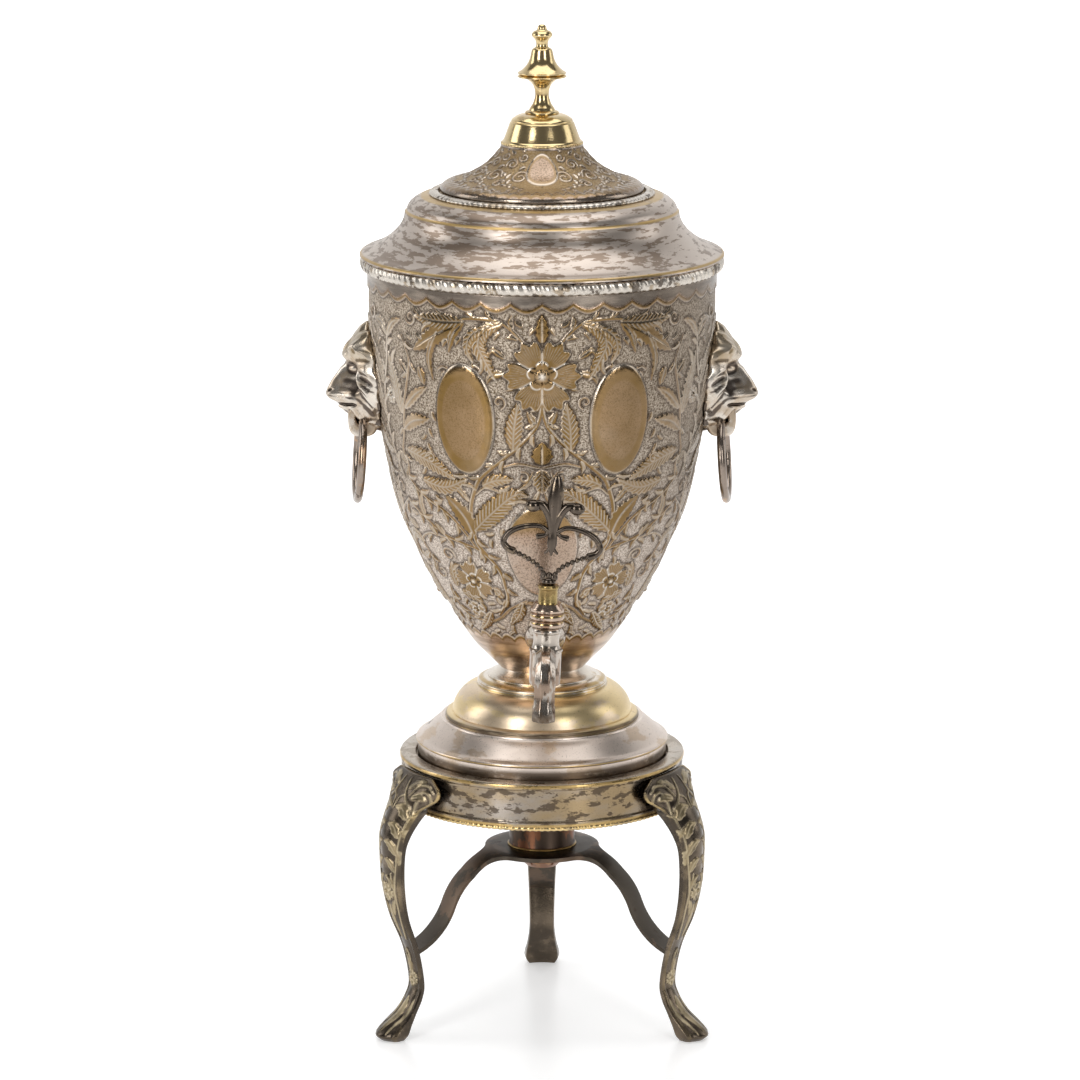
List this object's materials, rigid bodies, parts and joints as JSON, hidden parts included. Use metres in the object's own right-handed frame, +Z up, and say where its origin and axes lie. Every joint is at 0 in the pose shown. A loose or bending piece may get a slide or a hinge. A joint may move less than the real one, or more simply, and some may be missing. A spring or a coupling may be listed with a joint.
{
  "type": "tea urn with burner stand",
  "caption": "Tall vase-shaped tea urn with a lift-off lid, lion-mask ring handles and a turning tap, on a three-legged stand with a spirit burner.",
  "frame": {"origin": "on the table, on the urn's vertical axis", "axes": "+Z up along the urn's axis, the tap points along -Y, +X to the right of a person facing the tap"},
  "size_m": [0.214, 0.2202, 0.508],
  "materials": {
    "bowl_silver": "silver plate on chased brass, worn through to the brass on the raised work, matted ground",
    "lid_silver": "silver plate on chased brass, worn to brass on the high places",
    "shoulder_silver": "polished silver plate, stretched brown wear marks, brass showing at the edges",
    "rim_silver": "silver plate with a spiral-fluted edge, tarnish in the flutes",
    "mask_silver": "cast and chased, silver plate, dark in the recesses, brass at the brow",
    "ring_bronze": "dark tarnished plate, satin",
    "foot_silver": "silver plate worn thin, pinkish, fine pits",
    "polished_brass": "polished brass, plate worn off, fine scratches and brown spots",
    "worn_brass": "plain brass, dull",
    "gilt_brass": "brass bead wire, bright on top",
    "stand_plate": "silver plate with heavy brown-black tarnish in patches, brass at the edges",
    "leg_plate": "cast, plated, raised scrolls bright, ground dark with tarnish",
    "tarnished_plate": "dark grey-brown tarnish with brass edges",
    "burner_brass": "brass browned by heat, reddish streaks, bright rim",
    "tap_silver": "cast and turned, worn silver plate, greenish traces in the joints",
    "key_plate": "cast and pierced, dark worn plate",
    "wick_cotton": "braided cotton, charred at the tip"
  },
  "bodies": {
    "stand": {"stand_ring": "stand_plate", "apron_bead": "gilt_brass", "leg_front_left": "leg_plate", "leg_front_right": "leg_plate", "leg_back": "leg_plate", "burner_platform": "tarnished_plate", "burner_cup": "burner_brass", "burner_nut": "burner_brass"},
    "burner_top": {"burner_cover": "worn_brass", "wick": "wick_cotton"},
    "urn": {"foot_base": "foot_silver", "foot_dome": "polished_brass", "foot_neck": "foot_silver", "bowl": "bowl_silver", "rim_wire": "rim_silver", "shoulder": "shoulder_silver", "leaf_ring": "shoulder_silver", "lion_mask_left": "mask_silver", "lion_mask_right": "mask_silver", "mask_washers": "worn_brass", "mask_nuts": "worn_brass", "tap_body": "tap_silver", "tap_rosette": "tap_silver"},
    "lid": {"lid_bezel": "shoulder_silver", "lid_shell": "lid_silver", "lid_cap": "polished_brass", "finial": "polished_brass", "finial_nut": "worn_brass"},
    "tap_turning": {"tap_plug": "tap_silver", "key_ferrule": "worn_brass", "tap_key": "key_plate", "plug_washer": "tap_silver", "plug_screw": "tap_silver"},
    "handle_ring_left": {"ring_left": "ring_bronze"},
    "handle_ring_right": {"ring_right": "ring_bronze"}
  },
  "joints": [
    {"name": "burner_top_lift", "type": "slide", "parent": "stand", "child": "burner_top", "axis": [0, 0, 1], "range_m": [0, 0.03]},
    {"name": "urn_lift", "type": "slide", "parent": "stand", "child": "urn", "axis": [0, 0, 1], "range_m": [0, 0.08]},
    {"name": "lid_lift", "type": "slide", "parent": "urn", "child": "lid", "axis": [0, 0, 1], "range_m": [0, 0.06]},
    {"name": "tap_turn", "type": "hinge", "parent": "urn", "child": "tap_turning", "pos_m": [0.0016, -0.1, 0.2096], "axis": [0.0384, 0, 0.9993], "continuous": true},
    {"name": "ring_left_swing", "type": "hinge", "parent": "urn", "child": "handle_ring_left", "pos_m": [-0.09, 0, 0.3116], "axis": [0, 1, 0], "range_deg": [-15, 95]},
    {"name": "ring_right_swing", "type": "hinge", "parent": "urn", "child": "handle_ring_right", "pos_m": [0.09, 0, 0.3116], "axis": [0, -1, 0], "range_deg": [-15, 95]}
  ]
}
